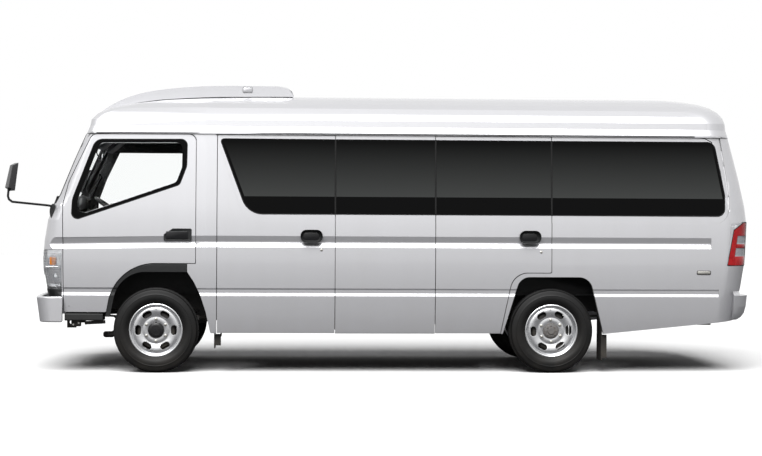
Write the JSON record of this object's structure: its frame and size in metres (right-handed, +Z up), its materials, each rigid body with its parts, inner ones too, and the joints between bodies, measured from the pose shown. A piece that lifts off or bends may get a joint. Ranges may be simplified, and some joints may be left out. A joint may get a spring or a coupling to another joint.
{
  "type": "light truck based minibus",
  "caption": "Cab-over light truck with a closed minibus body, side passenger doors, tinted band windows, a roof air unit and steered front wheels.",
  "frame": {"origin": "on the ground, under the middle of the overall box", "axes": "+X to the tail, +Y to the right-hand side of the vehicle, +Z up"},
  "size_m": [6.3568, 2.2244, 2.4528],
  "materials": {
    "body_paint": "white silver gloss",
    "clear_glass": "clear",
    "tinted_glass": "dark tint",
    "lamp_lens": "clear lens",
    "red_lens": "red lens",
    "black_plastic": "satin black",
    "seat_cloth": "woven",
    "floor_covering": "ribbed mat",
    "chassis_black": "satin black",
    "cast_iron": "as cast",
    "exhaust_steel": "dull",
    "wheel_chrome": "polished",
    "tyre_rubber": "moulded"
  },
  "bodies": {
    "root": {"arch_flares": "black_plastic", "cab_floor": "floor_covering", "cab_seats": "seat_cloth", "cab_steps": "black_plastic", "chassis_frame": "chassis_black", "dashboard": "black_plastic", "engine_block": "cast_iron", "exhaust": "exhaust_steel", "floor": "floor_covering", "front_axle_beam": "chassis_black", "front_bumper": "body_paint", "front_panel": "body_paint", "fuel_tank": "black_plastic", "headlamps": "lamp_lens", "leaf_springs": "chassis_black", "left_side_panel": "body_paint", "mirrors": "black_plastic", "mud_flaps": "black_plastic", "propeller_shaft": "chassis_black", "rear_axle": "chassis_black", "rear_bumper": "body_paint", "rear_frame": "body_paint", "right_side_panel": "body_paint", "roof_air_unit": "body_paint", "roof_panel": "body_paint", "saloon_seats": "seat_cloth", "side_windows": "tinted_glass", "tail_lamps": "red_lens", "wheel_housings": "black_plastic", "windscreen": "clear_glass"},
    "cab_door_left": {"cab_door_left": "body_paint", "cab_door_glass_left": "clear_glass"},
    "cab_door_right": {"cab_door_right": "body_paint", "cab_door_glass_right": "clear_glass"},
    "front_passenger_door": {"front_passenger_door": "body_paint", "front_passenger_door_glass": "tinted_glass"},
    "rear_passenger_door": {"rear_passenger_door": "body_paint", "rear_passenger_door_glass": "tinted_glass"},
    "tailgate": {"tailgate": "body_paint", "tailgate_glass": "tinted_glass"},
    "left_knuckle": {"left_knuckle": "chassis_black"},
    "right_knuckle": {"right_knuckle": "chassis_black"},
    "tie_rod": {"tie_rod": "chassis_black"},
    "steering_wheel": {"steering_wheel": "black_plastic"},
    "front_left_wheel": {"front_left_wheel": "wheel_chrome", "front_left_tyre": "tyre_rubber"},
    "front_right_wheel": {"front_right_wheel": "wheel_chrome", "front_right_tyre": "tyre_rubber"},
    "rear_left_wheel": {"rear_left_wheel": "wheel_chrome", "rear_left_tyre": "tyre_rubber"},
    "rear_right_wheel": {"rear_right_wheel": "wheel_chrome", "rear_right_tyre": "tyre_rubber"}
  },
  "joints": [
    {"name": "left_steer", "type": "hinge", "parent": "root", "child": "left_knuckle", "pos_m": [-1.9215, -0.67, 0.358], "axis": [0, 0, 1], "range_deg": [-35, 35]},
    {"name": "right_steer", "type": "hinge", "parent": "root", "child": "right_knuckle", "pos_m": [-1.9215, 0.67, 0.358], "axis": [0, 0, 1], "range_deg": [-35, 35]},
    {"name": "tie_rod_end", "type": "hinge", "parent": "left_knuckle", "child": "tie_rod", "pos_m": [-1.7715, -0.67, 0.268], "axis": [0, 0, 1], "range_deg": [-35, 35]},
    {"name": "steering_column", "type": "hinge", "parent": "root", "child": "steering_wheel", "pos_m": [-2.4015, 0.43, 1.36], "axis": [0.5736, 0, 0.8192], "range_deg": [-630, 630]},
    {"name": "cab_door_left_hinge", "type": "hinge", "parent": "root", "child": "cab_door_left", "pos_m": [-2.6565, -0.884, 1.2], "axis": [0, 0, -1], "range_deg": [0, 65]},
    {"name": "cab_door_right_hinge", "type": "hinge", "parent": "root", "child": "cab_door_right", "pos_m": [-2.6565, 0.884, 1.2], "axis": [0, 0, 1], "range_deg": [0, 65]},
    {"name": "front_passenger_door_hinge", "type": "hinge", "parent": "root", "child": "front_passenger_door", "pos_m": [-1.4035, -0.935, 1.2], "axis": [0, 0, -1], "range_deg": [0, 68]},
    {"name": "rear_passenger_door_hinge", "type": "hinge", "parent": "root", "child": "rear_passenger_door", "pos_m": [0.4405, -0.935, 1.2], "axis": [0, 0, -1], "range_deg": [0, 68]},
    {"name": "tailgate_hinge", "type": "hinge", "parent": "root", "child": "tailgate", "pos_m": [2.9988, 0, 2.049], "axis": [0, -1, 0], "range_deg": [0, 80]},
    {"name": "front_left_wheel_spin", "type": "hinge", "parent": "left_knuckle", "child": "front_left_wheel", "pos_m": [-1.9215, -0.798, 0.358], "axis": [0, 1, 0], "continuous": true},
    {"name": "front_right_wheel_spin", "type": "hinge", "parent": "right_knuckle", "child": "front_right_wheel", "pos_m": [-1.9215, 0.798, 0.358], "axis": [0, 1, 0], "continuous": true},
    {"name": "rear_left_wheel_spin", "type": "hinge", "parent": "root", "child": "rear_left_wheel", "pos_m": [1.4285, -0.798, 0.358], "axis": [0, 1, 0], "continuous": true},
    {"name": "rear_right_wheel_spin", "type": "hinge", "parent": "root", "child": "rear_right_wheel", "pos_m": [1.4285, 0.798, 0.358], "axis": [0, 1, 0], "continuous": true}
  ],
  "couplings": [
    {"joint": "right_steer", "follows": "left_steer", "ratio": 1},
    {"joint": "tie_rod_end", "follows": "left_steer", "ratio": -1},
    {"joint": "steering_column", "follows": "left_steer", "ratio": 18}
  ]
}
